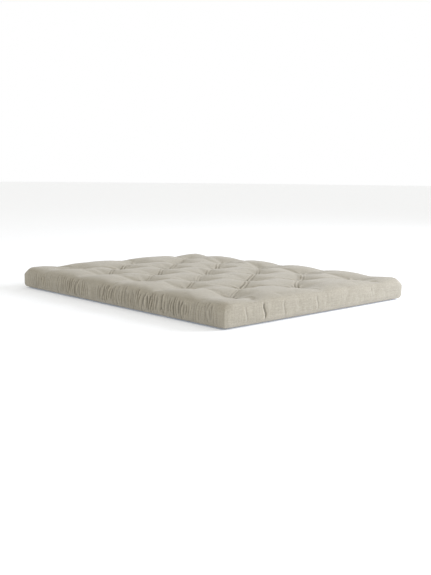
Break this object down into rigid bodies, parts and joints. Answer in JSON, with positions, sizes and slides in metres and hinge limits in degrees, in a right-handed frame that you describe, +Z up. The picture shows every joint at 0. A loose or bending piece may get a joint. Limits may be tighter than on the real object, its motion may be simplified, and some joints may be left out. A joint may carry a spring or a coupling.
{
  "type": "futon mattress",
  "caption": "Tufted futon mattress: a boxed cotton casing filled with felt and foam layers, pulled into dimples by stitched twine, that folds across its width.",
  "frame": {"origin": "middle of the underside, which lies on the bed base", "axes": "+X from the head end to the foot end, +Y across the width, +Z up"},
  "size_m": [2, 1.6, 0.15],
  "materials": {
    "casing_cloth": "matte",
    "filling_felt": "matte",
    "filling_foam": "matte",
    "tufting_twine": "matte",
    "pad_felt": "matte"
  },
  "bodies": {
    "foot_part": {"bottom_felt_foot": "filling_felt", "bottom_panel_foot": "casing_cloth", "felt_pads_foot": "pad_felt", "foot_end_border": "casing_cloth", "left_border_foot": "casing_cloth", "lower_foam_foot": "filling_foam", "middle_felt_foot": "filling_felt", "right_border_foot": "casing_cloth", "top_felt_foot": "filling_felt", "top_panel_foot": "casing_cloth", "tuft_twine_foot": "tufting_twine", "upper_foam_foot": "filling_foam"},
    "head_part": {"bottom_felt_head": "filling_felt", "bottom_panel_head": "casing_cloth", "felt_pads_head": "pad_felt", "head_end_border": "casing_cloth", "left_border_head": "casing_cloth", "lower_foam_head": "filling_foam", "middle_felt_head": "filling_felt", "right_border_head": "casing_cloth", "top_felt_head": "filling_felt", "top_panel_head": "casing_cloth", "tuft_twine_head": "tufting_twine", "upper_foam_head": "filling_foam"}
  },
  "joints": [
    {"name": "centre_fold", "type": "hinge", "parent": "foot_part", "child": "head_part", "pos_m": [-0.09825, 0, 0.154], "axis": [0, 1, 0], "range_deg": [0, 180]}
  ]
}
